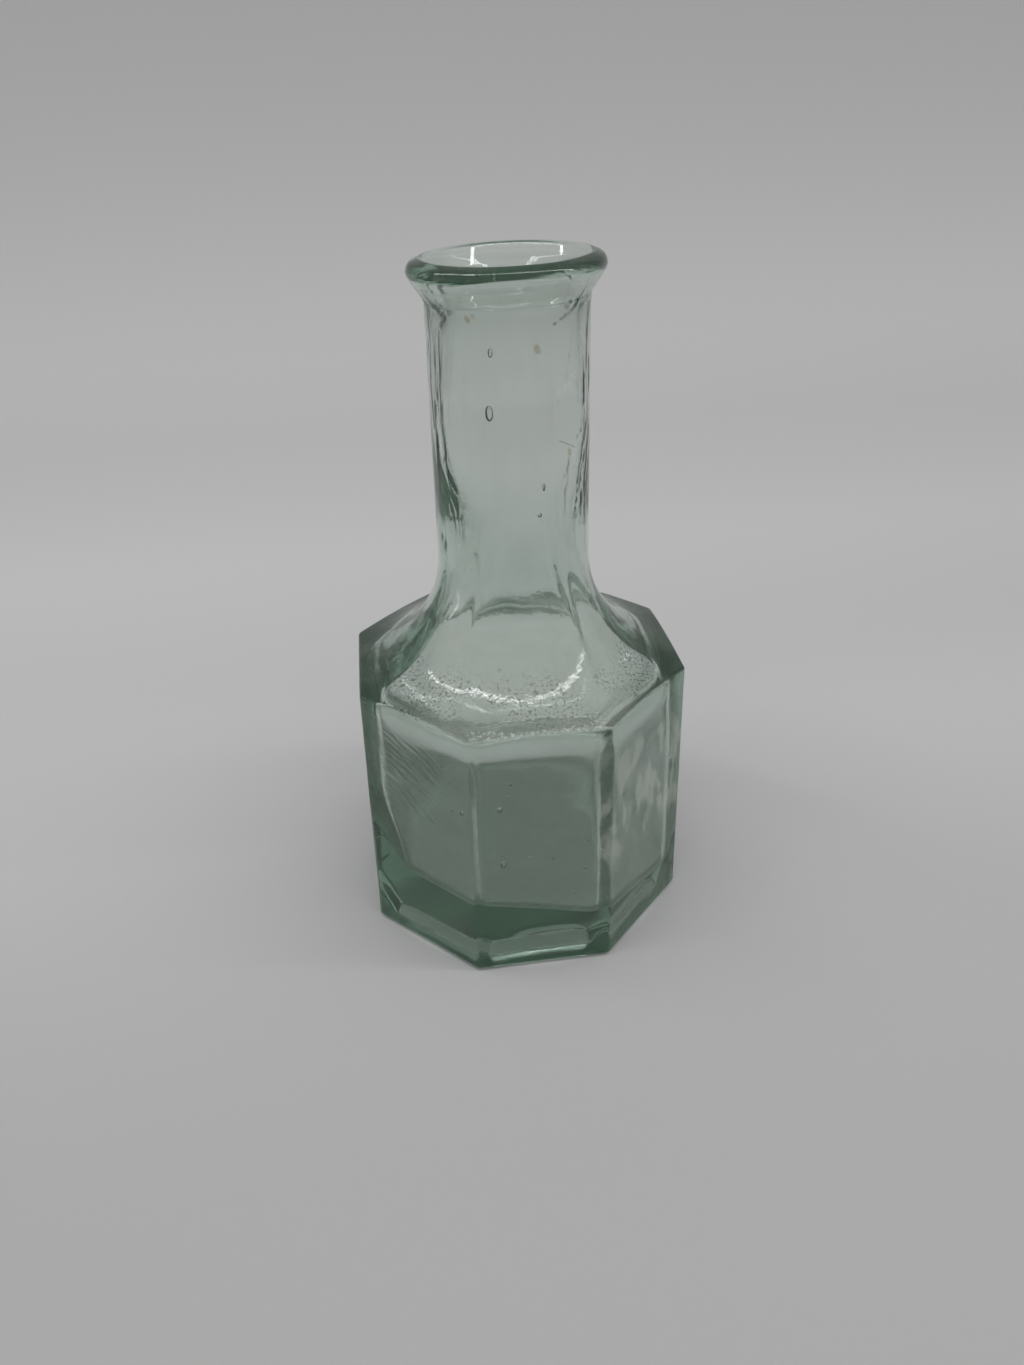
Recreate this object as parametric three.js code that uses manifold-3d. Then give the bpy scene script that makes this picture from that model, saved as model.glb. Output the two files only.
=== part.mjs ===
// A small mould-blown bottle of pale green glass, standing on its base.
// It is two pieces of glass. The body, blown in a mould, has eight flat panels, a shoulder that
// sweeps up in one hollow curve, and a tall round neck. The lip is a ring of glass laid on the
// neck's sheared end while hot, flared out and rounded over.
// Millimetres, +Z up, origin at the middle of the base, one panel facing -Y.

import * as THREE from "three";
import { mergeVertices } from "three/addons/utils/BufferGeometryUtils.js";
import Module from "manifold-3d";

// Body: an octagon that narrows a little from its base to its shoulder.
const PANELS = 8;
const BASE_FLATS = 41.2;
const SHOULDER_FLATS = 40;
const SHOULDER_HEIGHT = 35;
const CORNER_RADIUS = 1.1;
const HEEL_BEVEL = 0.8;

// Shoulder and neck: the sweep is the radius of the hollow curve that joins them.
const SHOULDER_SWEEP = 14;
const NECK_FOOT_DIAMETER = 18.2;
const NECK_TOP_DIAMETER = 17.7;
const NECK_LENGTH = 29.2;

// Lip: a flared ring that ends in a round rim.
const LIP_DIAMETER = 21;
const LIP_RISE = 3.8;
const RIM_THICKNESS = 2;

// Glass thicknesses. The floor is thicker towards -X, where the hot glass sagged.
const PANEL_WALL = 2;
const SHOULDER_WALL = 1.6;
const NECK_WALL = 1.5;
const FLOOR_THICKNESS = 8.2;
const FLOOR_LEAN_DEGREES = 11;
const HOLLOW_CORNER_RADIUS = 4;
const FLOOR_ROUNDING = 2.5;

// The laid-on lip stands this far off the neck, as the thickness of the weld between them.
const WELD = 0.02;

// Fineness of round shapes.
const TURN_STEPS = 48;
const SWEEP_STEPS = 12;
const RIM_STEPS = 14;
const CORNER_STEPS = 3;
const ROUNDING_STEPS = 3;

// Room for cutting shapes to run past what they cut.
const CUT_MARGIN = 2;

const neckFoot = NECK_FOOT_DIAMETER / 2;
const neckTop = NECK_TOP_DIAMETER / 2;
const boreFoot = neckFoot - NECK_WALL;
const boreTop = neckTop - NECK_WALL;
const sweepTop = SHOULDER_HEIGHT + SHOULDER_SWEEP;
const neckEnd = sweepTop + NECK_LENGTH;

const wasm = await Module();
wasm.setup();

// A closed geometry as a solid that can be joined and cut.
function solidOf(geometry) {
  const bare = new THREE.BufferGeometry();
  bare.setAttribute("position", geometry.getAttribute("position"));
  bare.setIndex(geometry.index);
  const merged = mergeVertices(bare, 1e-4);
  return new wasm.Manifold(
    new wasm.Mesh({
      numProp: 3,
      vertProperties: merged.getAttribute("position").array,
      triVerts: new Uint32Array(merged.index.array),
    }),
  );
}

// A solid back as a geometry with flat-shaded faces.
function geometryOf(solid) {
  const mesh = solid.getMesh();
  const indexed = new THREE.BufferGeometry();
  indexed.setAttribute("position", new THREE.BufferAttribute(mesh.vertProperties, 3));
  indexed.setIndex(new THREE.BufferAttribute(mesh.triVerts, 1));
  const geometry = indexed.toNonIndexed();
  geometry.computeVertexNormals();
  return geometry;
}

// A profile of [radius, height] points turned about the Z axis, upwards on its outside.
function turned(profile) {
  const points = profile.map(([radius, height]) => new THREE.Vector2(radius, height));
  return new THREE.LatheGeometry(points, TURN_STEPS).rotateX(Math.PI / 2);
}

// Points of a circular arc as [radius, height] pairs, both ends included.
function arc(centreRadius, centreHeight, radius, fromAngle, toAngle, steps) {
  return Array.from({ length: steps + 1 }, (_, i) => {
    const angle = fromAngle + ((toAngle - fromAngle) * i) / steps;
    return [centreRadius + radius * Math.cos(angle), centreHeight + radius * Math.sin(angle)];
  });
}

// The plan of the body: an octagon of a given width across its flats, with rounded corners.
function octagon(flats, cornerRadius) {
  const turn = (2 * Math.PI) / PANELS;
  const centreDistance = (flats / 2 - cornerRadius) / Math.cos(turn / 2);
  const outline = [];
  for (let corner = 0; corner < PANELS; corner++) {
    const direction = turn * (corner + 0.5);
    for (let i = 0; i <= CORNER_STEPS; i++) {
      const angle = direction + turn * (i / CORNER_STEPS - 0.5);
      outline.push([
        centreDistance * Math.cos(direction) + cornerRadius * Math.cos(angle),
        centreDistance * Math.sin(direction) + cornerRadius * Math.sin(angle),
      ]);
    }
  }
  return outline;
}

// A closed skin through stacked outlines of equal length. Each section is { outline, height },
// where height is a function of x, so that a section can lean.
function lofted(sections) {
  const count = sections[0].outline.length;
  const vertices = sections.flatMap(({ outline, height }) =>
    outline.flatMap(([x, y]) => [x, y, height(x)]),
  );
  const faces = [];
  for (let s = 0; s + 1 < sections.length; s++) {
    for (let i = 0; i < count; i++) {
      const low = s * count + i;
      const lowNext = s * count + ((i + 1) % count);
      faces.push(low, lowNext, lowNext + count, low, lowNext + count, low + count);
    }
  }
  const first = sections[0];
  const last = sections[sections.length - 1];
  const lowCentre = vertices.length / 3;
  const highCentre = lowCentre + 1;
  vertices.push(0, 0, first.height(0), 0, 0, last.height(0));
  const top = (sections.length - 1) * count;
  for (let i = 0; i < count; i++) {
    const next = (i + 1) % count;
    faces.push(lowCentre, next, i, highCentre, top + i, top + next);
  }
  const geometry = new THREE.BufferGeometry();
  geometry.setAttribute("position", new THREE.Float32BufferAttribute(vertices, 3));
  geometry.setIndex(faces);
  return geometry;
}

const level = (height) => () => height;

// Across the flats at a height, along the body's slight taper.
function flatsAt(height) {
  return BASE_FLATS + ((SHOULDER_FLATS - BASE_FLATS) * height) / SHOULDER_HEIGHT;
}

// The eight panels with their bevelled heel, carried up past the neck for the shoulder to cut.
function panelPrism() {
  const past = neckEnd + CUT_MARGIN;
  return lofted([
    { outline: octagon(BASE_FLATS - 2 * HEEL_BEVEL, CORNER_RADIUS), height: level(0) },
    { outline: octagon(flatsAt(HEEL_BEVEL), CORNER_RADIUS), height: level(HEEL_BEVEL) },
    { outline: octagon(SHOULDER_FLATS, CORNER_RADIUS), height: level(SHOULDER_HEIGHT) },
    { outline: octagon(SHOULDER_FLATS, CORNER_RADIUS), height: level(past) },
  ]);
}

// Everything under the shoulder's hollow sweep and inside the neck, as a turned shape.
function shoulderAndNeck() {
  const past = Math.max(BASE_FLATS, neckFoot + SHOULDER_SWEEP) + CUT_MARGIN;
  return turned([
    [0, -CUT_MARGIN],
    [past, -CUT_MARGIN],
    [past, SHOULDER_HEIGHT],
    ...arc(neckFoot + SHOULDER_SWEEP, sweepTop, SHOULDER_SWEEP, -Math.PI / 2, -Math.PI, SWEEP_STEPS),
    [neckTop, neckEnd],
    [0, neckEnd],
  ]);
}

// The hollow's eight sides above a rounded floor that leans.
function hollowPrism() {
  const lean = Math.tan(THREE.MathUtils.degToRad(FLOOR_LEAN_DEGREES));
  const flatsOver = (height) => flatsAt(height) - 2 * PANEL_WALL;
  const rounding = Array.from({ length: ROUNDING_STEPS }, (_, i) => {
    const angle = (Math.PI / 2) * (i / ROUNDING_STEPS);
    const inset = FLOOR_ROUNDING * (1 - Math.sin(angle));
    const rise = FLOOR_ROUNDING * (1 - Math.cos(angle));
    const flats = flatsOver(FLOOR_THICKNESS + rise) - 2 * inset;
    return {
      outline: octagon(flats, HOLLOW_CORNER_RADIUS),
      height: (x) => FLOOR_THICKNESS + rise - x * lean,
    };
  });
  const sideFoot = FLOOR_THICKNESS + FLOOR_ROUNDING;
  const past = neckEnd + CUT_MARGIN;
  return lofted([
    ...rounding,
    {
      outline: octagon(flatsOver(sideFoot), HOLLOW_CORNER_RADIUS),
      height: (x) => sideFoot - x * lean,
    },
    {
      outline: octagon(flatsOver(SHOULDER_HEIGHT), HOLLOW_CORNER_RADIUS),
      height: level(SHOULDER_HEIGHT),
    },
    { outline: octagon(flatsOver(SHOULDER_HEIGHT), HOLLOW_CORNER_RADIUS), height: level(past) },
  ]);
}

// The underside of the shoulder and the neck's bore, open at the top.
function hollowShoulderAndBore() {
  const sweep = SHOULDER_SWEEP + SHOULDER_WALL;
  const ceiling = SHOULDER_HEIGHT - SHOULDER_WALL;
  const past = Math.max(BASE_FLATS, boreFoot + sweep) + CUT_MARGIN;
  const pastTop = neckEnd + CUT_MARGIN;
  const boreTaper = (boreTop - boreFoot) / (neckEnd - ceiling - sweep);
  return turned([
    [0, 0],
    [past, 0],
    [past, ceiling],
    ...arc(boreFoot + sweep, ceiling + sweep, sweep, -Math.PI / 2, -Math.PI, SWEEP_STEPS),
    [boreTop + boreTaper * CUT_MARGIN, pastTop],
    [0, pastTop],
  ]);
}

function bottleBody() {
  const outside = solidOf(panelPrism()).intersect(solidOf(shoulderAndNeck()));
  const hollow = solidOf(hollowPrism()).intersect(solidOf(hollowShoulderAndBore()));
  return geometryOf(outside.subtract(hollow));
}

// The angle on the rim's circle at which a line from a point of the neck's end touches it.
// The side is +1 for the outside of the lip and -1 for the mouth.
function touchAngle(footRadius, footHeight, rim, side) {
  const across = footRadius - rim.centre;
  const down = footHeight - rim.height;
  const distance = Math.hypot(across, down);
  return Math.atan2(down, across) + side * Math.acos(rim.radius / distance);
}

function lipRing() {
  const rim = {
    centre: (LIP_DIAMETER - RIM_THICKNESS) / 2,
    height: neckEnd + LIP_RISE - RIM_THICKNESS / 2,
    radius: RIM_THICKNESS / 2,
  };
  const foot = neckEnd + WELD;
  const outer = touchAngle(neckTop, foot, rim, 1);
  const inner = touchAngle(boreTop, foot, rim, -1) + 2 * Math.PI;
  return turned([
    [boreTop, foot],
    [neckTop, foot],
    ...arc(rim.centre, rim.height, rim.radius, outer, inner, RIM_STEPS),
    [boreTop, foot],
  ]);
}

// Pale green glass, smooth from the fire.
function glass(colour) {
  return new THREE.MeshStandardMaterial({
    color: colour,
    roughness: 0.06,
    metalness: 0,
    transparent: true,
    opacity: 0.45,
  });
}

function piece(name, geometry, material) {
  const mesh = new THREE.Mesh(geometry, material);
  mesh.name = name;
  return mesh;
}

const bottle = new THREE.Group();
bottle.add(piece("bottle_body", bottleBody(), glass("#a9bdb1")));
bottle.add(piece("lip_ring", lipRing(), glass("#7f998c")));

export default bottle;
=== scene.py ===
import math

import bpy
import numpy as np
from mathutils import Matrix, Vector


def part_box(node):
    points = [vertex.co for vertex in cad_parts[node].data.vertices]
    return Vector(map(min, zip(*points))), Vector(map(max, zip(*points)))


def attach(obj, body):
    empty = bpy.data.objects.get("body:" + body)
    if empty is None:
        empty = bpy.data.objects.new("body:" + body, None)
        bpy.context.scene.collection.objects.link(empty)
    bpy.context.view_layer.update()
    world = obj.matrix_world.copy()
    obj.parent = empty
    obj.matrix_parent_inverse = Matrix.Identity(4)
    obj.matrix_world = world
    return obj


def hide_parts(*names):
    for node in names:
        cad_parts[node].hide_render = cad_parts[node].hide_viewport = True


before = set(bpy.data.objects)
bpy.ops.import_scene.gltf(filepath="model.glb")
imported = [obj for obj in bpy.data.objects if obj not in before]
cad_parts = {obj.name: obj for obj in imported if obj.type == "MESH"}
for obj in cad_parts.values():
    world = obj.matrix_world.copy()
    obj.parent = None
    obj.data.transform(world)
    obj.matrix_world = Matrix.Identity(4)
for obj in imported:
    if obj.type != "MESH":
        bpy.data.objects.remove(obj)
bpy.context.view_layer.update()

# The bottle
# A small vessel of pale green glass, blown in a hinged mould that gave it eight flat panels, a
# hollow-curved shoulder and a round neck. The lip was laid on hot and rounded over. The inside took
# its shape from breath alone: uneven walls, a bore that runs aslant and a floor that leans.

# Sizes are in millimetres until the mesh is made.
MM = 0.001

_, body_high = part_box("bottle_body")
_, lip_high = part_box("lip_ring")

panel_turn = math.radians(45)
base_apothem = body_high.x / MM
neck_end = body_high.z / MM
lip_radius = lip_high.x / MM
lip_top = lip_high.z / MM

shoulder_apothem = 20.0
shoulder_height = 35.0
corner_sharpness = 200
heel_radius = 0.8
arris_radius = 0.5
sweep = 14.0
neck_foot = 9.1
neck_top = 8.9

hollow_sharpness = 45
floor_height = 7.06
floor_lean = 0.23
lean_end = -7.0
ceiling_height = 33.5
bore_straight_from = 68
bore_top = lip_top - 4.5
push_up = 1.8
flank_width = 1.3


def around(count=34):
    """Angles about the axis, closest together at the eight corners.

    Within each eighth, from one panel's middle to the next, the angle from the corner grows as a
    cubic of the step, slowly at first."""
    t = np.arange(count) / count * 2 - 1
    spread = panel_turn / 2 * (0.25 * t + 0.75 * t**3)
    corners = panel_turn * (np.arange(8) + 0.5)
    return (corners[:, None] + spread[None, :]).ravel()


def octagon(angle, apothem, sharpness):
    """Distance from the axis to an octagon with rounded corners.

    Each panel is a line at its own apothem. The inverse distances to the eight lines are joined by
    a high power mean, so the nearest line counts alone except close to a corner, which it rounds."""
    panels = panel_turn * np.arange(8).reshape(8, 1, 1)
    nearness = np.maximum(base_apothem * np.cos(angle - panels) / apothem, 0)
    return base_apothem * (nearness**sharpness).sum(axis=0) ** (-1 / sharpness)


def steps(count, first=False, last=True):
    """Evenly spaced fractions from 0 to 1 as a column, with or without its ends."""
    t = np.linspace(0, 1, count)
    return t[(0 if first else 1):(count if last else count - 1), None]


def mix(a, b, t):
    """A value between a at 0 and b at 1."""
    return a + (b - a) * t


def smooth(low, high, value):
    """0 at low, 1 at high, and a smooth S between them."""
    t = np.clip((value - low) / (high - low), 0, 1)
    return t * t * (3 - 2 * t)


def bend(start, corner, end, t):
    """A rounded corner: the quadratic curve from start to end drawn towards the corner point."""
    return (1 - t) ** 2 * start + 2 * t * (1 - t) * corner + t**2 * end


def wavy(points, length, seed, count=14, stretch=(1, 1, 1)):
    """Smooth unevenness about zero: a mean of sine waves of about one length, each with its own
    direction and start, over points in space."""
    rng = np.random.default_rng(seed)
    direction = rng.normal(size=(count, 3))
    direction /= np.linalg.norm(direction, axis=1, keepdims=True)
    direction *= (2 * math.pi / length) * rng.uniform(0.7, 1.4, (count, 1)) / np.array(stretch)
    start = rng.uniform(0, 2 * math.pi, count)
    total = np.zeros(points.shape[:-1])
    for k, phase in zip(direction, start):
        total += np.sin(points @ k + phase)
    return total / math.sqrt(count)


theta = around()[None, :]
even = np.ones_like(theta)
even_theta = np.linspace(0, 2 * math.pi, theta.size, endpoint=False)[None, :]


def uneven(mean, right, back, sides=0.0, angle=even_theta):
    """A thickness round the bottle, from its mean and how much more it is to the right, to the
    back, and to both sides at once."""
    return mean + right * np.cos(angle) + back * np.sin(angle) + sides * np.cos(2 * angle)


floor_round = uneven(3.17, -0.16, 0.99, angle=theta)


def apothem_at(z):
    """The panels' distance from the axis, which shrinks a little from the base to the shoulder."""
    return mix(base_apothem, shoulder_apothem, z / shoulder_height)


def panel_radius(z):
    """The outside of the panels."""
    return octagon(theta, apothem_at(z), corner_sharpness)


def floor_at(r):
    """The height of the hollow's floor: it leans down towards +X, levels out at the left and rises
    a little at the back."""
    x, y = r * np.cos(theta), r * np.sin(theta)
    past = x - lean_end
    x = x + 0.5 * (np.sqrt(past**2 + 4) - past)
    return floor_height - floor_lean * x - 0.01 * y + 0.4 * smooth(0, 18, y)


def hollow_radius(z):
    """The inside of the panels. Its corners are sharper low down, where the glass is also thicker
    at the far left."""
    facing = panel_turn * np.arange(8).reshape(8, 1, 1)
    left = smooth(0.75, 0.98, -np.cos(facing))
    low_wall = uneven(2.71, 0.07, -0.15, 0.14, angle=facing) + 2.49 * left * smooth(22, 9, z)
    wall = mix(low_wall, uneven(2.96, 0.3, 1.05, angle=facing), smooth(24, 32, z))
    return octagon(theta, apothem_at(z) - wall, mix(hollow_sharpness, 60, smooth(30, 22, z)))


# Outside, from the middle of the underside up to the neck's end.
edge = panel_radius(0 * even) - heel_radius
# It stands on a broad ring, within which the underside rises along a short flank.
f = np.concatenate([steps(5) * 0.72, 0.72 + 0.28 * steps(13)])
under_r = f * edge
contact_ring = uneven(4.3, 0.8, 0.0, angle=theta)
f = np.clip((edge - under_r - contact_ring) / flank_width, 0, 1)
under_z = push_up * mix(f, smooth(0, 1, f), 0.3)

q = steps(6) * math.pi / 2
heel_r = edge + heel_radius * np.sin(q)
heel_z = heel_radius * (1 - np.cos(q)) * even

sweep_r = neck_foot + sweep
sweep_z = shoulder_height + sweep
edge_r = panel_radius(shoulder_height * even)
edge_z = sweep_z - np.sqrt(sweep**2 - (sweep_r - edge_r) ** 2)
edge_turn = np.arctan2(edge_z - sweep_z, edge_r - sweep_r)
arris = arris_radius * np.tan((math.pi / 2 - (-math.pi / 2 - edge_turn)) / 2)

panel_z = mix(heel_radius, edge_z - arris, steps(22))
panel_r = panel_radius(panel_z)

first_turn = edge_turn - arris / sweep
f = steps(7, last=False)
arris_r = bend(panel_r[-1:], edge_r, sweep_r + sweep * np.cos(first_turn), f)
arris_z = bend(panel_z[-1:], edge_z, sweep_z + sweep * np.sin(first_turn), f)

turn = mix(first_turn, -math.pi, steps(32, first=True))
sweep_rows_r = sweep_r + sweep * np.cos(turn)
sweep_rows_z = sweep_z + sweep * np.sin(turn)

f = steps(80)
neck_z = mix(sweep_z, neck_end - 1.2, f) * even
neck_r = mix(neck_foot, neck_top, f) * even


def rounded(corners, radii, count):
    """Points along straight runs through corners, whose arrays hold radius and height. Each inner
    corner gives way to a quadratic curve that leaves the runs where a circle of its radius would
    touch them, at most half a run away."""
    rows = [corners[0]]
    for before, corner, after, radius in zip(corners[:-2], corners[1:-1], corners[2:], radii):
        back_length = np.linalg.norm(before - corner, axis=0)
        ahead_length = np.linalg.norm(after - corner, axis=0)
        back, ahead = (before - corner) / back_length, (after - corner) / ahead_length
        half = np.arccos(np.clip((back * ahead).sum(axis=0), -1, 1)) / 2
        cut = np.minimum(radius / np.tan(half), 0.49 * np.minimum(back_length, ahead_length))
        f = np.linspace(0, 1, count)[:, None, None]
        rows.extend(bend(corner + back * cut, corner, corner + ahead * cut, f))
    rows.append(corners[-1])
    return np.array(rows)


# The lip: out along a flare, round a full bead and over the rim into the mouth, which narrows like a
# funnel. It was turned by hand, so that the flare starts a little unevenly.
mouth_r = uneven(7.17, 0.2, 0.0)
sag = 0.07 * np.sin(3 * even_theta + 1) + 0.05 * np.sin(8 * even_theta)
sag = sag + 0.04 * np.sin(13 * even_theta + 2)
lip_corners = np.array([
    (neck_top * even, (neck_end - 1) * even),
    (neck_top * even, neck_end - 0.08 + sag),
    ((lip_radius + 0.2) * even, (lip_top - 1.29) * even),
    ((lip_radius - 0.2) * even, (lip_top - 0.31) * even),
    (8.86 * even, (lip_top + 0.22) * even),
    (mouth_r + 0.42, (lip_top - 1.97) * even),
    (mouth_r - 0.12, (lip_top - 3.26) * even),
    (mouth_r, bore_top * even),
])[:, :, 0]
lip = rounded(lip_corners, (1.86, 1.0, 1.0, 0.72, 1.1, 3.3), 8)
lip_r, lip_z = lip[:, 0], lip[:, 1]

# Inside, down the bore, under the shoulder and down the panels to the floor. Under the shoulder the
# hollow is still eight-sided, most of all at the left and right, where its flats also lean.
at_sides = smooth(0.45, 0.8, np.abs(np.cos(theta)))
eight = (1.03 - octagon(theta, base_apothem, 60) / base_apothem) / 0.08
flats = eight * at_sides
lean_left = 1.9 * smooth(0.6, 0.93, -np.cos(theta))
lean_right = 0.4 * smooth(0.6, 0.93, np.cos(theta))
aslant = np.sin(theta) * (lean_left + lean_right)
foot_flats = 0.15 * eight
foot_wall = uneven(2.17, -0.45, -0.52)
middle_wall = np.maximum(uneven(1.61, -0.12, -0.02) + 0.8 * flats + aslant + 0.05 * at_sides, 0.5)
rim_wall = np.maximum(uneven(2.02, -0.09, -0.4) + 0.8 * flats + aslant + 0.3 * at_sides, 0.5)
ceiling_round = np.maximum(2.6 + 0.56 * np.sin(theta) - 0.41 * np.cos(2 * theta), 0.6)

bore_z = mix(bore_top, sweep_z, steps(40)) * even
bore_wall = mix(uneven(0.87, -0.12, 0.0), foot_wall, smooth(64, 49, bore_z))
bore_wall = bore_wall + foot_flats * smooth(52, 49, bore_z)
bore_r = mix(neck_foot, neck_top, (bore_z - sweep_z) / (neck_end - sweep_z)) - bore_wall
f = np.clip((bore_z - bore_straight_from) / (bore_top - bore_straight_from), 0, 1)
bore_r = mix(bore_r, mouth_r, f)

wall_r = hollow_radius(ceiling_height * even)
last_turn = -np.arccos((wall_r - ceiling_round - sweep_r) / (sweep + rim_wall))
f = steps(28)
thick = mix(foot_wall + foot_flats, middle_wall, smooth(0, 0.5, f))
thick = mix(thick, rim_wall, smooth(0.45, 0.95, f))
turn = mix(-math.pi, last_turn, f)
under_sweep_r = sweep_r + (sweep + thick) * np.cos(turn)
under_sweep_z = sweep_z + (sweep + thick) * np.sin(turn)

wall_z = sweep_z - np.sqrt((sweep + rim_wall) ** 2 - (wall_r - sweep_r) ** 2)
side_top = wall_z - ceiling_round
f = steps(10)
ceiling_r = bend(under_sweep_r[-1:], wall_r, hollow_radius(side_top), f)
ceiling_z = bend(under_sweep_z[-1:], wall_z, side_top, f)

side_foot = floor_at(hollow_radius(floor_height * even)) + floor_round
side_z = mix(side_top, side_foot, steps(32))
side_r = hollow_radius(side_z)
f = steps(9)
floor_edge = side_r[-1:] - floor_round
fillet_r = bend(side_r[-1:], side_r[-1:], floor_edge, f)
fillet_z = bend(side_foot, floor_at(side_r[-1:]), floor_at(floor_edge), f)
floor_r = floor_edge * (1 - steps(9, last=False))
floor_z = floor_at(floor_r)

outer_rows = [(under_r, under_z), (heel_r, heel_z), (panel_r, panel_z), (arris_r, arris_z),
              (sweep_rows_r, sweep_rows_z), (neck_r, neck_z), (lip_r, lip_z)]
inner_rows = [(bore_r, bore_z), (under_sweep_r, under_sweep_z), (ceiling_r, ceiling_z),
              (side_r, side_z), (fillet_r, fillet_z), (floor_r, floor_z)]
r, z = (np.vstack(rows) for rows in zip(*outer_rows, *inner_rows))
inside = np.arange(len(r)) >= len(r) - sum(len(rows) for rows, _ in inner_rows)
inside = (inside * 1.0)[:, None] + 0 * r

# Up the shoulder the columns leave the corners and spread evenly round the neck.
angle = mix(theta, even_theta, smooth(36.5, 43, z))
skin = np.stack([r * np.cos(angle), r * np.sin(angle), z], axis=-1)


def normals(grid):
    """Unit normals of a grid that closes on itself around its second axis."""
    along = np.gradient(grid, axis=0)
    across = np.roll(grid, -1, axis=1) - np.roll(grid, 1, axis=1)
    n = np.cross(across, along)
    return n / np.maximum(np.linalg.norm(n, axis=-1, keepdims=True), 1e-12)


def folds(middle, spread, count, seed):
    """Upright folds where the mould closed: ridges side by side, each a bell curve across an angle
    that wanders with height, and each fading in and out as it climbs the neck."""
    rng = np.random.default_rng(seed)
    total = np.zeros_like(z)
    for _ in range(count):
        place = math.radians(middle + rng.normal(0, spread))
        swing = 0.05 * rng.normal(size=2)
        speed = rng.uniform(0.12, 0.5, 2)
        start = rng.uniform(0, 2 * math.pi, 4)
        line = place + swing[0] * np.sin(z * speed[0] + start[0])
        line = line + 0.5 * swing[1] * np.sin(z * speed[1] * 3 + start[1])
        off = (angle - line + math.pi) % (2 * math.pi) - math.pi
        width = rng.uniform(0.16, 0.3)
        fade = np.clip(0.35 + 0.8 * np.sin(z * rng.uniform(0.15, 0.4) + start[2]), 0, 1)
        fade = fade * (0.75 + 0.25 * np.sin(z * rng.uniform(1.0, 2.4) + start[3]))
        total += fade * np.exp(-((off * neck_top / width) ** 2))
    return total * (1 - inside) * smooth(43, 50, z) * smooth(neck_end + 0.2, neck_end - 0.4, z)


def drawn(width, *points):
    """A groove on the neck: 1 along straight runs through points of degrees and height, and a bell
    curve of a given width across them."""
    arc = neck_top * ((angle + math.pi) % (2 * math.pi) - math.pi)
    nearest = np.full_like(z, 99.0)
    for (a, b), (c, d) in zip(points[:-1], points[1:]):
        run, rise = neck_top * math.radians(c - a), d - b
        x, y = arc - neck_top * math.radians(a), z - b
        f = np.clip((x * run + y * rise) / (run**2 + rise**2), 0, 1)
        nearest = np.minimum(nearest, np.hypot(x - f * run, y - f * rise))
    return np.exp(-((nearest / width) ** 2)) * (1 - inside)


# Where the mould closed: at the left two streaks from a hook under the lip down to curling flow marks,
# at the right a band that breaks up lower down, and faint folds beside them and behind. The glass colour
# is painted dark along these folds, partly dirt and partly painted shade.
crease = 0.6 * folds(-160, 6, 9, 5) + 0.7 * folds(-29, 3, 6, 8)
crease = crease + 0.6 * folds(22.5, 2.5, 3, 9) + folds(165, 6, 6, 10)
for line in (
    drawn(0.24, (-174, 78.3), (-167, 77.2), (-164, 74), (-168, 70), (-165, 65)),
    drawn(0.22, (-165, 77.9), (-157, 74), (-157, 72), (-158, 69)),
    drawn(0.34, (-159, 78.4), (-150, 77.8), (-143, 77.1), (-147, 76.3)),
    drawn(0.15, (-150, 75.7), (-151, 72), (-153, 66), (-150, 62.5)),
    drawn(0.15, (-150, 62.5), (-153, 61.4), (-148, 60.1), (-140, 58.7)),
    0.6 * drawn(0.12, (-152, 57.3), (-144, 56.4), (-148, 55.9)),
    0.5 * drawn(0.12, (-154, 55), (-145, 55), (-137, 55.7), (-134, 57.4)),
    0.5 * drawn(0.12, (-156, 53.3), (-149, 52.6), (-142, 51.9)),
    0.5 * drawn(0.12, (-174, 53), (-166, 51.5), (-158, 50.6)),
    drawn(0.3, (-13, 77.7), (-26, 77), (-30, 74.5), (-30, 71.8), (-35, 70), (-35, 67.5)),
    drawn(0.2, (-25, 72), (-23, 69.6), (-27, 67.2), (-21, 64.4), (-27, 62), (-31, 59.2)),
    (0.6 + 0.4 * np.sin(5 * z)) * drawn(0.28, (-27, 62), (-31, 59.2), (-30, 54.8), (-31, 53.6)),
    drawn(0.16, (-41, 53.9), (-27, 53.5), (-30, 53.1), (-27, 49.5)),
    drawn(0.23, (-43.4, 78.4), (-46, 77.7), (-53, 77.1), (-58, 76.8)),
    0.7 * drawn(0.16, (-58, 76.8), (-61, 76.6), (-67, 76.2)),
    0.8 * drawn(0.12, (-38, 64.6), (-43.6, 64.3), (-44.6, 63.8)),
):
    crease = np.maximum(crease, line)
swell = mix(
    0.012 * wavy(skin, 9, 1) + 0.0025 * wavy(skin, 2.4, 2, stretch=(1, 1, 2.5)),
    0.025 * wavy(skin, 9, 3) + 0.006 * wavy(skin, 2.6, 4),
    inside,
)
swell += 0.06 * crease
swell *= smooth(0.0, 2.0, np.hypot(skin[..., 0], skin[..., 1]))
swell *= np.maximum(inside, smooth(0.3, 2.5, z))
skin = skin + normals(skin) * swell[..., None]

# The lip was laid on a little askew.
lift = smooth(66, neck_end, z)
skin[..., 2] += lift * (0.025 * skin[..., 0] + 0.008 * skin[..., 1])
marks = {"inside": inside, "crease": crease}


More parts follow.
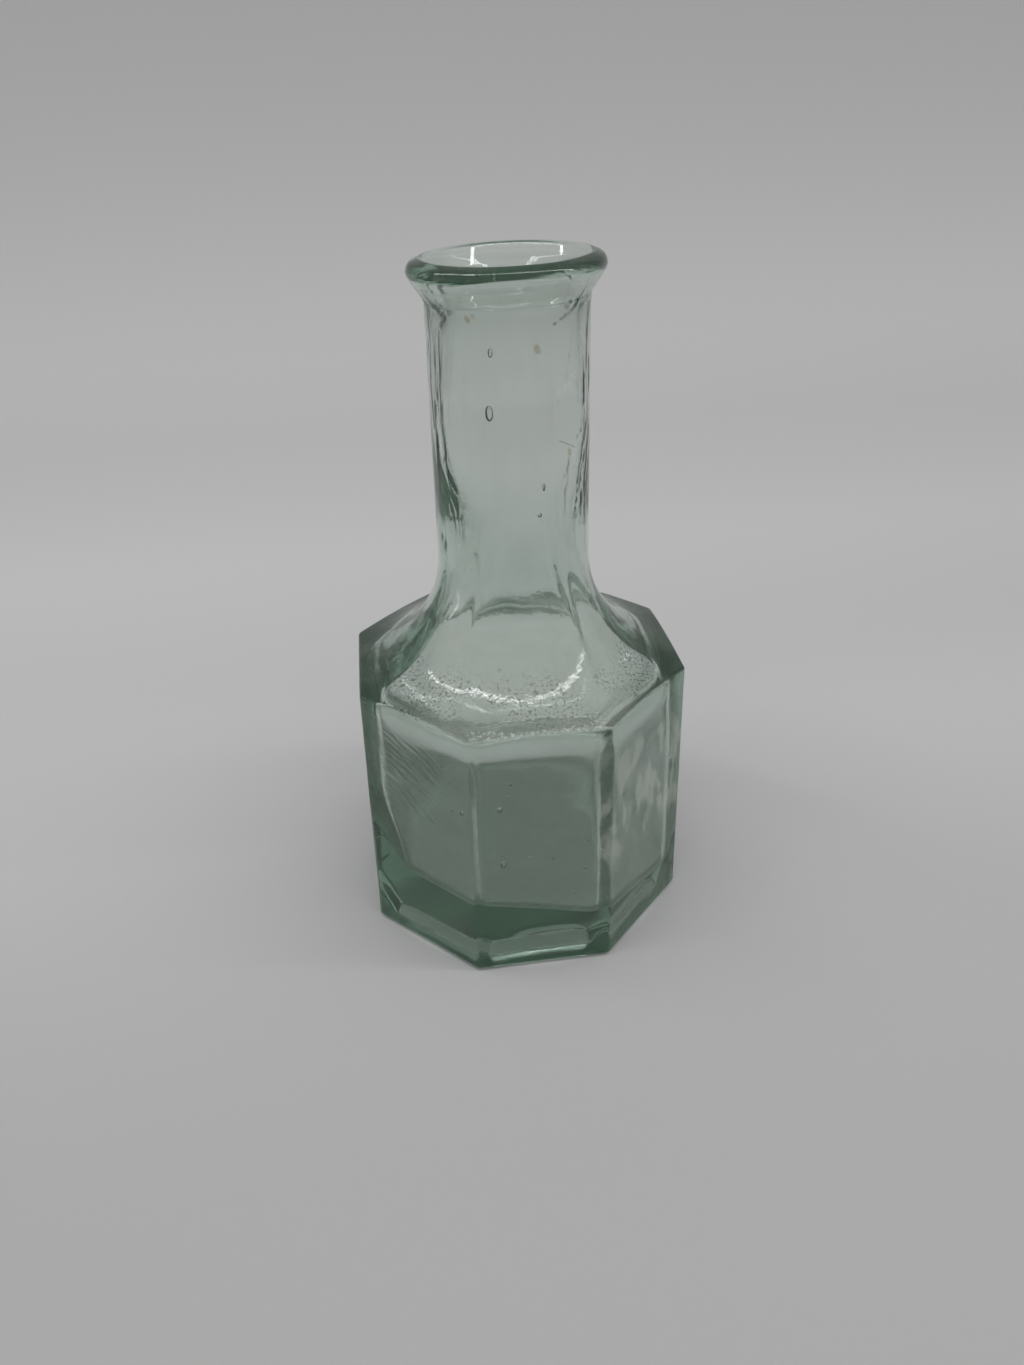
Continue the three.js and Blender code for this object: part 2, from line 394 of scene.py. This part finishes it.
def bubble(degrees, height, radius, wide, tall, deep):
    """A flattened bubble in the glass: an ellipsoid with its three half widths along the wall, up
    it and through it. Its rows run downwards, so that its faces look into the bubble."""
    lat = math.pi * np.linspace(0, 1, 10)[1:-1, None]
    lon = np.linspace(0, 2 * math.pi, 16, endpoint=False)[None, :]
    a = math.radians(degrees)
    outward = np.array([math.cos(a), math.sin(a), 0])
    along = np.array([-math.sin(a), math.cos(a), 0])
    up = np.array([0, 0, 1])
    middle = radius * outward + height * up
    grid = middle + deep * (np.sin(lat) * np.cos(lon))[..., None] * outward
    grid = grid + wide * (np.sin(lat) * np.sin(lon))[..., None] * along
    grid = grid + tall * (np.cos(lat) + 0 * lon)[..., None] * up
    return grid, middle + tall * up, middle - tall * up


shells = [(skin, [0, 0, push_up], [0, 0, floor_at(0 * even)[0, 0]], marks)]
shells += [(*bubble(*sizes), {}) for sizes in (
    (-110, 73.8, 8.35, 0.25, 0.47, 0.2), (-112, 67.7, 8.4, 0.43, 0.86, 0.28),
    (-73.5, 59.4, 8.4, 0.16, 0.45, 0.16), (-77, 56.3, 8.4, 0.25, 0.25, 0.16))]


def seed(facing, along, height, size):
    """A small bubble in a panel, from where the panel faces and how far along it the bubble lies."""
    out = apothem_at(height) - 0.8
    degrees = facing + math.degrees(math.atan2(along, out))
    return *bubble(degrees, height, math.hypot(out, along), size, 1.2 * size, 0.7 * size), {}


shells += [seed(*place) for place in (
    (-90, -3.6, 28.4, 0.2), (-90, -4.9, 24.9, 0.34), (-90, -4.7, 16.7, 0.42), (-90, -1.5, 17.3, 0.2),
    (-90, 5.3, 14.9, 0.26), (-90, 7.3, 17.3, 0.3), (-90, 4, 10.9, 0.18), (-135, 6.7, 24.3, 0.3))]
rng = np.random.default_rng(12)
shells += [seed(45 * rng.integers(0, 8), rng.uniform(-7, 7), rng.uniform(6, 32), rng.uniform(0.08, 0.24))
           for _ in range(30)]


def closed_mesh(name, shells):
    """A mesh from grids whose rows close on themselves, each capped by one point at either end.

    Marks are values over a grid that the material reads, zero where a grid has none."""
    points, loops, sizes = [], [], []
    values = {"inside": [], "crease": []}
    first = 0
    for grid, bottom, top, given in shells:
        rows, cols = grid.shape[:2]
        points.append(np.vstack([grid.reshape(-1, 3), [bottom], [top]]) * MM)
        index = first + np.arange(rows * cols).reshape(rows, cols)
        right = np.roll(index, -1, axis=1)
        quads = np.stack([index[:-1], right[:-1], right[1:], index[1:]], axis=-1)
        low = np.stack([np.full(cols, first + rows * cols), right[0], index[0]], axis=-1)
        high = np.stack([np.full(cols, first + rows * cols + 1), index[-1], right[-1]], axis=-1)
        loops += [quads.ravel(), low.ravel(), high.ravel()]
        sizes += [np.full((rows - 1) * cols, 4), np.full(2 * cols, 3)]
        for mark, column in values.items():
            value = given.get(mark, np.zeros((rows, cols)))
            column.append(np.concatenate([value.ravel(), value[0, :1], value[-1, :1]]))
        first += rows * cols + 2
    points, loops, sizes = (np.concatenate(parts) for parts in (points, loops, sizes))
    mesh = bpy.data.meshes.new(name)
    mesh.vertices.add(len(points))
    mesh.vertices.foreach_set("co", points.ravel())
    mesh.loops.add(len(loops))
    mesh.loops.foreach_set("vertex_index", loops)
    mesh.polygons.add(len(sizes))
    mesh.polygons.foreach_set("loop_start", np.concatenate([[0], np.cumsum(sizes)[:-1]]))
    mesh.polygons.foreach_set("loop_total", sizes)
    mesh.polygons.foreach_set("use_smooth", np.ones(len(sizes), bool))
    mesh.update(calc_edges=True)
    mesh.validate()
    for mark, column in values.items():
        layer = mesh.attributes.new(mark, "FLOAT", "POINT")
        layer.data.foreach_set("value", np.concatenate(column))
    piece = bpy.data.objects.new(name, mesh)
    bpy.context.scene.collection.objects.link(piece)
    return piece


bottle = closed_mesh("bottle_glass", shells)


class Shade:
    """A value in a material. Arithmetic on it adds Math nodes to its tree."""

    def __init__(self, socket):
        self.socket = socket
        self.tree = socket.id_data

    def node(self, kind, settings, inputs, output=0):
        """Another node: its settings are set first, then its sockets get values or links."""
        node = self.tree.nodes.new(kind)
        for name, value in settings.items():
            setattr(node, name, value)
        for name, value in inputs.items():
            if isinstance(value, Shade):
                self.tree.links.new(value.socket, node.inputs[name])
            else:
                node.inputs[name].default_value = value
        return Shade(node.outputs[output])

    def math(self, operation, first, second):
        return self.node("ShaderNodeMath", {"operation": operation}, {0: first, 1: second})

    def __add__(self, other):
        return self.math("ADD", self, other)

    def __sub__(self, other):
        return self.math("SUBTRACT", self, other)

    def __rsub__(self, other):
        return self.math("SUBTRACT", other, self)

    def __mul__(self, other):
        return self.math("MULTIPLY", self, other)

    def __pow__(self, other):
        return self.math("POWER", self, other)

    __radd__ = __add__
    __rmul__ = __mul__

    def ramp(self, low, high):
        """0 at low, 1 at high, and a smooth S between them."""
        return self.node("ShaderNodeMapRange", {"interpolation_type": "SMOOTHSTEP"},
                         {"Value": self, "From Min": low, "From Max": high})


def green_glass():
    """Clear green glass with a worn skin: the body of the glass absorbs, and its faces carry ripples
    from the mould, pits, folds along the seams painted dark with dirt and painted shade, scratches, a
    little grime, and pale film that paints light in patches and a glint."""
    material = bpy.data.materials.new("green_glass")
    material.use_nodes = True
    tree = material.node_tree
    glass = tree.nodes["Principled BSDF"]
    glass.inputs["IOR"].default_value = 1.52
    glass.inputs["Transmission Weight"].default_value = 1.0
    place = Shade(tree.nodes.new("ShaderNodeTexCoord").outputs["Object"])
    millimetres = place.node("ShaderNodeMapping", {}, {"Vector": place, "Scale": (1000, 1000, 1000)})
    parts = place.node("ShaderNodeSeparateXYZ", {}, {"Vector": millimetres}).socket.node
    across, depth, height = (Shade(parts.outputs[axis]) for axis in "XYZ")
    arc = neck_top * place.math("ARCTAN2", depth, across)
    inner = place.node("ShaderNodeAttribute", {"attribute_name": "inside"}, {}, "Fac")
    fold = place.node("ShaderNodeAttribute", {"attribute_name": "crease"}, {}, "Fac")

    def noise(size, detail=2.0, stretch=(1, 1, 1)):
        """Clouds about a half, of a size in millimetres that may be stretched along the axes."""
        scaled = place.node("ShaderNodeMapping", {}, {
            "Vector": place, "Scale": tuple(1000 / size / s for s in stretch)})
        return place.node("ShaderNodeTexNoise", {}, {"Vector": scaled, "Scale": 1.0, "Detail": detail})

    def stroke(width, *points):
        """1 along a line on the neck through points of degrees and height, 0 beyond its width."""
        spots = [(neck_top * math.radians(degrees), level) for degrees, level in points]
        nearest = 99.0
        for (a, b), (c, d) in zip(spots[:-1], spots[1:]):
            x, y = arc - a, height - b
            f = (x * (c - a) + y * (d - b)) * (1 / ((c - a) ** 2 + (d - b) ** 2))
            f = place.node("ShaderNodeClamp", {}, {"Value": f})
            x, y = x - f * (c - a), y - f * (d - b)
            nearest = place.math("MINIMUM", (x * x + y * y) ** 0.5, nearest)
        return nearest.ramp(width, 0.3 * width)

    def most(first, second):
        return place.math("MAXIMUM", first, second)

    def blend(factor, first, second):
        """A colour between two, whose sockets on the node are numbers 6 and 7, and 2 for the result."""
        inputs = {"Factor": factor, 6: first, 7: second}
        return place.node("ShaderNodeMix", {"data_type": "RGBA"}, inputs, 2)

    # Where things are.
    outer = 1 - inner
    body = height.ramp(36, 34)
    under = outer * height.ramp(2.4, 1.6)
    on_shoulder = outer * height.ramp(34.6, 35.4) * height.ramp(48, 43)
    on_front = depth.ramp(-3, -9) * across.ramp(-15, -10) * across.ramp(14, 9)
    on_flare = outer * (height + 1.6 * noise(4, 2.0)).ramp(79.1, 79.5) * height.ramp(80.4, 80.0)
    on_neck = outer * height.ramp(47, 52) * height.ramp(79, 77)
    in_mouth = inner * height.ramp(73, 78)
    at_left = inner * (-1.0 * across - depth).ramp(19, 23) * height.ramp(17, 22) * height.ramp(33, 30)
    at_left = at_left * depth.ramp(-15.5, -12.5)
    at_right = outer * (across - depth).ramp(26.5, 27.5) * height.ramp(12, 18) * height.ramp(33, 29)
    at_arris = outer * height.ramp(34.9, 35.1) * height.ramp(35.5, 35.35)
    at_arris = at_arris * depth.ramp(-17, -19) * across.ramp(-8.5, -7.5) * across.ramp(8, 7)

    # Ripples from the mould, strokes on the left panel, dimples and pits on the shoulder.
    patches = noise(5, 3.0)
    ripple = noise(1.2, 2.0, (4, 4, 1)) - 0.5
    grain = noise(0.45, 2.0) - 0.5
    dimple = noise(0.7, 2.0) - 0.5
    pit = noise(0.32, 1.0).ramp(0.56, 0.64) * patches.ramp(0.36, 0.54)
    pit = pit * on_shoulder * height.ramp(40, 37.5)
    along = 0.7 * across - 0.7 * depth
    slanted = {"X": 0.3 * along - 0.17 * height, "Y": along + 1.73 * height}
    slant = place.node("ShaderNodeCombineXYZ", {}, slanted)
    brushed = place.node("ShaderNodeTexNoise", {}, {"Vector": slant, "Scale": 0.8, "Detail": 2.0}) - 0.5
    rise = 0.12 * brushed * at_left + ripple * (0.02 * inner * body + 0.003)
    rise = rise + grain * (0.002 + 0.003 * inner)
    rise = rise + (0.024 * dimple + 0.004 * grain) * on_shoulder - 0.01 * pit
    bump = place.node("ShaderNodeBump", {}, {"Height": rise, "Strength": 1.0, "Distance": MM})
    tree.links.new(bump.socket, glass.inputs["Normal"])

    rough = 0.015 + inner * (0.045 + 0.13 * height.ramp(35, 31)) + 0.2 * in_mouth + 0.1 * under
    tree.links.new(rough.socket, glass.inputs["Roughness"])

    # Dark in the folds, a scratch and the pits, and three brown stains on the neck. The dark in the
    # folds is partly dirt and partly painted shade, standing in for the dark that the folds show by
    # bending light.
    dark_dirt_and_shade = fold.ramp(0.15, 0.8) * (0.4 + 0.6 * noise(1.2, 2.0, (1, 1, 4)).ramp(0.3, 0.55))
    dark_dirt_and_shade = most(dark_dirt_and_shade, 0.5 * outer * stroke(0.12, (-62, 64.3), (-54, 63.7), (-47, 63.1)))
    dark_dirt_and_shade = most(dark_dirt_and_shade, 0.85 * pit)
    stain = stroke(0.5, (-79, 74.2), (-78, 73.9))
    stain = most(stain, stroke(0.4, (-125, 77.1), (-124, 76.9)))
    stain = most(stain, stroke(0.4, (-53, 63), (-52, 62.6)))
    # The soot colour is dirt and painted shade at once: it darkens the folds.
    clear, soot_and_shade, rust = (0.925, 0.945, 0.932, 1), (0.02, 0.032, 0.028, 1), (0.6, 0.5, 0.36, 1)
    colour = blend(outer * stain, blend(dark_dirt_and_shade, clear, soot_and_shade), rust)
    tree.links.new(colour.socket, glass.inputs["Base Color"])

    # A thin film of dust: haze on the shoulder and flare, streaks on the neck, a smear and fog inside
    # the panels. The same pale film paints light too: paler patches on the right panel, painted light
    # for the light that ripples in the glass gather, and a painted glint dotted along the front edge of
    # the shoulder.
    film = tree.nodes.new("ShaderNodeBsdfPrincipled")
    film.inputs["Base Color"].default_value = (0.7, 0.72, 0.67, 1)
    film.inputs["Roughness"].default_value = 1.0
    film.inputs["Specular IOR Level"].default_value = 0.0
    haze = 0.14 * on_front + 0.06 * patches.ramp(0.4, 0.75)
    streaks = noise(2.2, 3.0, (1, 1, 6)).ramp(0.42, 0.7)
    fog = 0.09 + 0.07 * patches.ramp(0.35, 0.7) + 0.05 * dimple.ramp(0.0, 0.2)
    fog = fog + 0.05 * height.ramp(20, 11)
    # Painted light: pale film in patches on the right panel, standing in for light that ripples in the
    # glass gather.
    right_panel_painted_light = noise(2.5, 2.0, (1, 1, 2)).ramp(0.46, 0.6)
    # A painted glint: pale film in dots along the front edge of the shoulder, where the lamps glint.
    arris_glint_paint = noise(0.35, 1.0).ramp(0.52, 0.62) * at_arris
    smear = stroke(0.6, (-45, 71), (-53, 70.1), (-60, 69.7), (-64, 68.7))
    smear = smear * noise(0.7, 3.0).ramp(0.42, 0.6)
    cover = 0.006 + on_shoulder * haze + 0.1 * on_flare + 0.08 * in_mouth + 0.35 * arris_glint_paint
    cover = cover + 0.03 * on_neck * streaks + 0.02 * body + inner * height.ramp(33, 30) * fog
    cover = (1 - under) * (cover + 0.2 * outer * smear + 0.28 * at_right * right_panel_painted_light)
    veiled = tree.nodes.new("ShaderNodeMixShader")
    tree.links.new(cover.socket, veiled.inputs["Fac"])
    tree.links.new(glass.outputs["BSDF"], veiled.inputs[1])
    tree.links.new(film.outputs["BSDF"], veiled.inputs[2])
    finish = tree.nodes["Material Output"]
    tree.links.new(veiled.outputs["Shader"], finish.inputs["Surface"])
    absorb = tree.nodes.new("ShaderNodeVolumeAbsorption")
    absorb.inputs["Color"].default_value = (0.2, 0.517, 0.345, 1)
    absorb.inputs["Density"].default_value = 65
    tree.links.new(absorb.outputs["Volume"], finish.inputs["Volume"])
    return material


bottle.data.materials.append(green_glass())
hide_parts("bottle_body", "lip_ring")
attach(bottle, "root")

# The floor
# A sheet of pale grey paper that lies flat under the bottle and curves up behind it. Its grey is painted
# lighter and darker for how the light falls: a painted pool of light right under the glass, and painted
# shade in front and at the top.

paper_gap = 0.02 * MM
sheet_half_width = 2.5
flat_front, flat_back = -2.5, 0.22
curve_radius = 0.25
sheet_top = 1.2
quarter = np.linspace(0, math.pi / 2, 24)[1:]
flat_y = np.linspace(flat_front, flat_back, 12)
curve_y = flat_back + curve_radius * np.sin(quarter)
curve_z = curve_radius - curve_radius * np.cos(quarter)
sheet_y = np.concatenate([flat_y, curve_y, [flat_back + curve_radius]])
sheet_z = np.concatenate([0 * flat_y, curve_z, [sheet_top]])
count = len(sheet_y)
sheet = np.zeros((2, count, 3))
sheet[0, :, 0] = -sheet_half_width
sheet[1, :, 0] = sheet_half_width
sheet[..., 1] = sheet_y
sheet[..., 2] = sheet_z - paper_gap
faces = [(i, count + i, count + i + 1, i + 1) for i in range(count - 1)]
sheet_mesh = bpy.data.meshes.new("paper_sheet")
sheet_mesh.from_pydata(sheet.reshape(-1, 3).tolist(), [], faces)
sheet_mesh.polygons.foreach_set("use_smooth", np.ones(len(faces), bool))
paper = bpy.data.objects.new("paper_sheet", sheet_mesh)
bpy.context.scene.collection.objects.link(paper)
paper_material = bpy.data.materials.new("grey_paper")
paper_material.use_nodes = True
paper_shader = paper_material.node_tree.nodes["Principled BSDF"]
paper_place = Shade(paper_material.node_tree.nodes.new("ShaderNodeTexCoord").outputs["Object"])
depth = paper_place.node("ShaderNodeSeparateXYZ", {}, {"Vector": paper_place}, "Y")
reach = paper_place.node("ShaderNodeVectorMath", {"operation": "LENGTH"}, {0: paper_place}, "Value")
# The grey carries painted shade: darker in front and at the top of the curve, lighter in between.
paper_grey_and_painted_light = 0.5 + 0.12 * depth.ramp(-0.05, 0.04) + 0.09 * depth.ramp(0.05, 0.13)
paper_grey_and_painted_light = paper_grey_and_painted_light + 0.02 * depth.ramp(0.15, 0.25) - 0.15 * depth.ramp(0.28, 0.47)
# A painted pool of light right under the glass, for the light the glass gathers onto the paper.
paper_grey_and_painted_light = paper_grey_and_painted_light + 0.42 * reach.ramp(0.0215, 0.0185)
paper_material.node_tree.links.new(paper_grey_and_painted_light.socket, paper_shader.inputs["Base Color"])
paper_shader.inputs["Roughness"].default_value = 1.0
paper_shader.inputs["Specular IOR Level"].default_value = 0.0
sheet_mesh.materials.append(paper_material)

# The light
# A soft white tent all round, with two narrow lamps under its roof that meet at an angle. They give
# the bent glint on the shoulder.

world = bpy.data.worlds.new("tent")
world.use_nodes = True
world.node_tree.nodes["Background"].inputs["Color"].default_value = (1, 1, 1, 1)
world.node_tree.nodes["Background"].inputs["Strength"].default_value = 0.67
bpy.context.scene.world = world

roof_height = 0.2
for name, length, x, y, turn in (
    ("lamp_right", 0.35, 0.09, -0.043, -6.5),
    ("lamp_left", 0.155, -0.125, 0.025, -38.4),
):
    lamp = bpy.data.lights.new(name, "AREA")
    lamp.shape = "RECTANGLE"
    lamp.size = length
    lamp.size_y = 0.008
    lamp.energy = 0.34 * length
    roof_lamp = bpy.data.objects.new(name, lamp)
    roof_lamp.location = (x, y, roof_height)
    roof_lamp.rotation_euler = (0, 0, math.radians(turn))
    bpy.context.scene.collection.objects.link(roof_lamp)

# The camera
# It stands where the photograph was taken from, close to the bottle, and looks down on it with a
# wide lens and a slight roll.

eye = Vector((-14.4018, -108.8899, 95.8318)) * MM
forward = Vector((0.10815744, 0.85110271, -0.51373742))
roll = math.radians(-1.519)
focal_px = 976.8
frame_height_px = 1365

right = forward.cross(Vector((0, 0, 1))).normalized()
up = right.cross(forward)
tilted_right = right * math.cos(roll) + up * math.sin(roll)
tilted_up = up * math.cos(roll) - right * math.sin(roll)
camera_data = bpy.data.cameras.new("camera")
camera_data.sensor_width = 36
camera_data.lens = focal_px / frame_height_px * camera_data.sensor_width
camera_data.clip_start = 0.005
camera_data.clip_end = 20
camera = bpy.data.objects.new("camera", camera_data)
turned = Matrix((tilted_right, tilted_up, -forward)).transposed().to_4x4()
camera.matrix_world = Matrix.Translation(eye) @ turned
bpy.context.scene.collection.objects.link(camera)
bpy.context.scene.camera = camera

# Light passes many faces of the glass before it leaves.
glass_bounces = 48
scene = bpy.context.scene
scene.view_settings.view_transform = "Standard"
scene.cycles.max_bounces = glass_bounces
scene.cycles.transmission_bounces = glass_bounces
scene.cycles.glossy_bounces = glass_bounces
scene.cycles.diffuse_bounces = 4
